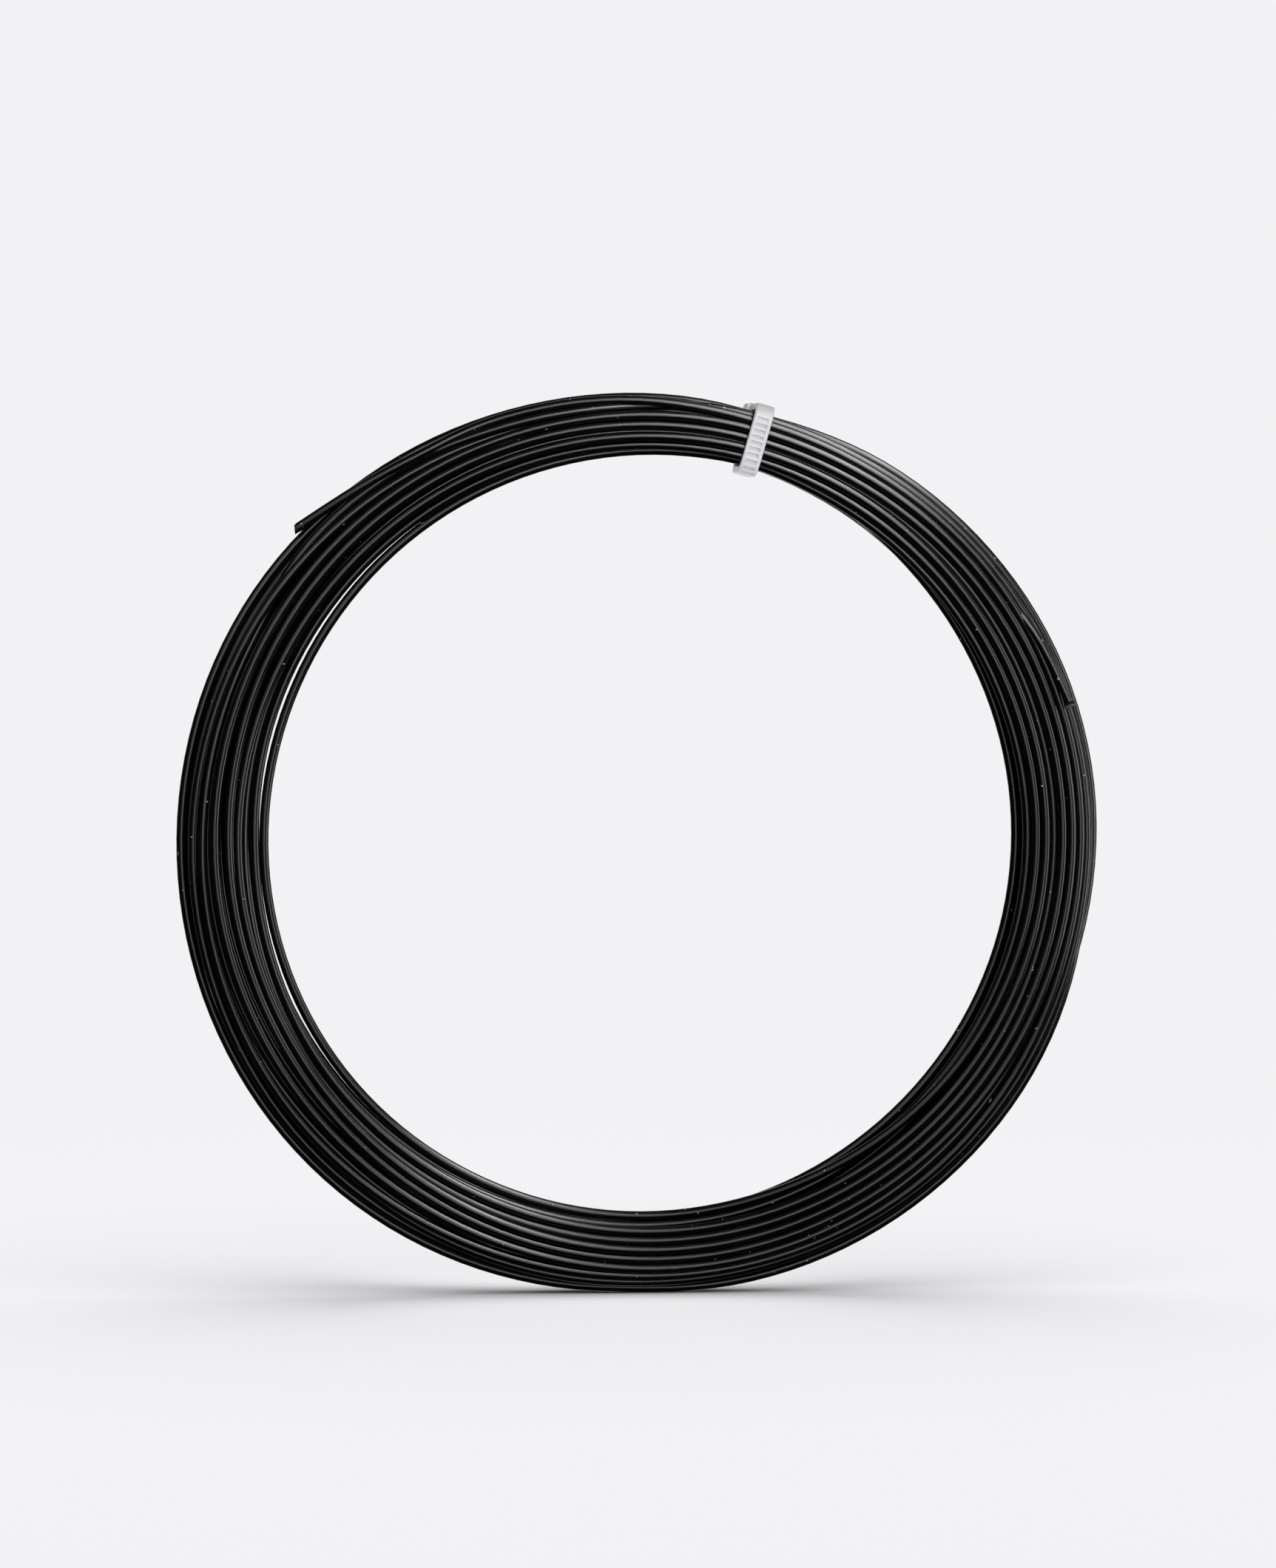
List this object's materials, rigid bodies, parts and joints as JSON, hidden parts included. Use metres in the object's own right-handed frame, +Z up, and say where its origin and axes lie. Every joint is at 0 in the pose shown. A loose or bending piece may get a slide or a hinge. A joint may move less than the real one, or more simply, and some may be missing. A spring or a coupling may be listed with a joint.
{
  "type": "coiled racket string",
  "caption": "Ring-shaped hank of black monofilament racket string with two free ends, held by a translucent nylon cable tie.",
  "frame": {"origin": "middle of the flat foot that the standing hank rests on, on the ring's mid plane", "axes": "+Z up from the foot to the top of the ring, +Y along the ring's axis from its front to its back, +X to the right as seen from the front"},
  "size_m": [0.122, 0.0138, 0.1186],
  "materials": {
    "string": "satin black monofilament",
    "tie": "milky translucent nylon"
  },
  "bodies": {
    "hank": {"string_coil": "string", "string_end_upper": "string", "string_end_side": "string", "tie_strap": "tie", "tie_head": "tie"},
    "pawl": {"tie_pawl": "tie"}
  },
  "joints": [
    {"name": "pawl_hinge", "type": "hinge", "parent": "hank", "child": "pawl", "pos_m": [0.01564, 0.00709, 0.11414], "axis": [-0.9613, 0, 0.2756], "range_deg": [0, 10.5], "stiffness_Nm_per_rad": 0.01}
  ]
}
